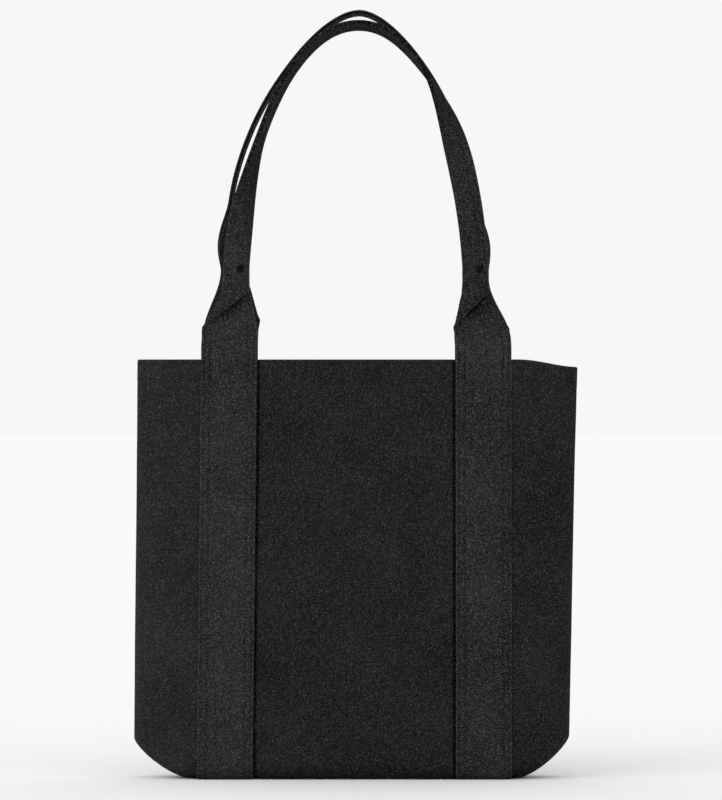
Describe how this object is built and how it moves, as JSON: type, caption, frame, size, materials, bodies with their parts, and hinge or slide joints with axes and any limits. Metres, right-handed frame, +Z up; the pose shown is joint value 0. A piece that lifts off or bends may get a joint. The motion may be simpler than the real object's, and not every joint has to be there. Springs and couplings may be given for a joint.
{
  "type": "canvas tote bag",
  "caption": "Upright canvas tote bag, open at the mouth, with boxed bottom corners, sewn-on full-height straps and folding shoulder handles.",
  "frame": {"origin": "middle of the bag's footprint on the surface it stands on", "axes": "+Z up towards the handles, +X to the right along the bag's width as seen from the front, -Y out of the front face"},
  "size_m": [0.3808, 0.0648, 0.6634],
  "materials": {
    "body_canvas": "matt heavy canvas, charcoal, with a fine pale fleck",
    "strap_canvas": "matt doubled canvas strap, charcoal, slightly lighter than the body",
    "binding_tape": "matt cotton twill tape, near black",
    "thread": "spun polyester sewing thread, dark grey"
  },
  "bodies": {
    "bag": {"front_panel": "body_canvas", "back_panel": "body_canvas", "left_side": "body_canvas", "right_side": "body_canvas", "base_panel": "body_canvas", "left_corner": "body_canvas", "right_corner": "body_canvas", "front_hem": "body_canvas", "back_hem": "body_canvas", "left_hem": "body_canvas", "right_hem": "body_canvas", "left_seam_binding": "binding_tape", "right_seam_binding": "binding_tape", "left_corner_binding": "binding_tape", "right_corner_binding": "binding_tape", "front_left_strap": "strap_canvas", "front_right_strap": "strap_canvas", "back_left_strap": "strap_canvas", "back_right_strap": "strap_canvas", "left_base_strap": "strap_canvas", "right_base_strap": "strap_canvas", "front_strap_stitching": "thread", "back_strap_stitching": "thread", "front_cross_stitching": "thread", "back_cross_stitching": "thread", "mouth_stitching": "thread"},
    "front_handle": {"front_handle": "strap_canvas", "front_left_leg": "strap_canvas", "front_right_leg": "strap_canvas", "front_handle_stitching": "thread", "front_bartacks": "thread"},
    "back_handle": {"back_handle": "strap_canvas", "back_left_leg": "strap_canvas", "back_right_leg": "strap_canvas", "back_handle_stitching": "thread", "back_bartacks": "thread"}
  },
  "joints": [
    {"name": "front_handle_fold", "type": "hinge", "parent": "bag", "child": "front_handle", "pos_m": [0, -0.021, 0.3615], "axis": [1, 0, 0], "range_deg": [0, 170]},
    {"name": "back_handle_fold", "type": "hinge", "parent": "bag", "child": "back_handle", "pos_m": [0, 0.021, 0.3615], "axis": [-1, 0, 0], "range_deg": [0, 170]}
  ]
}
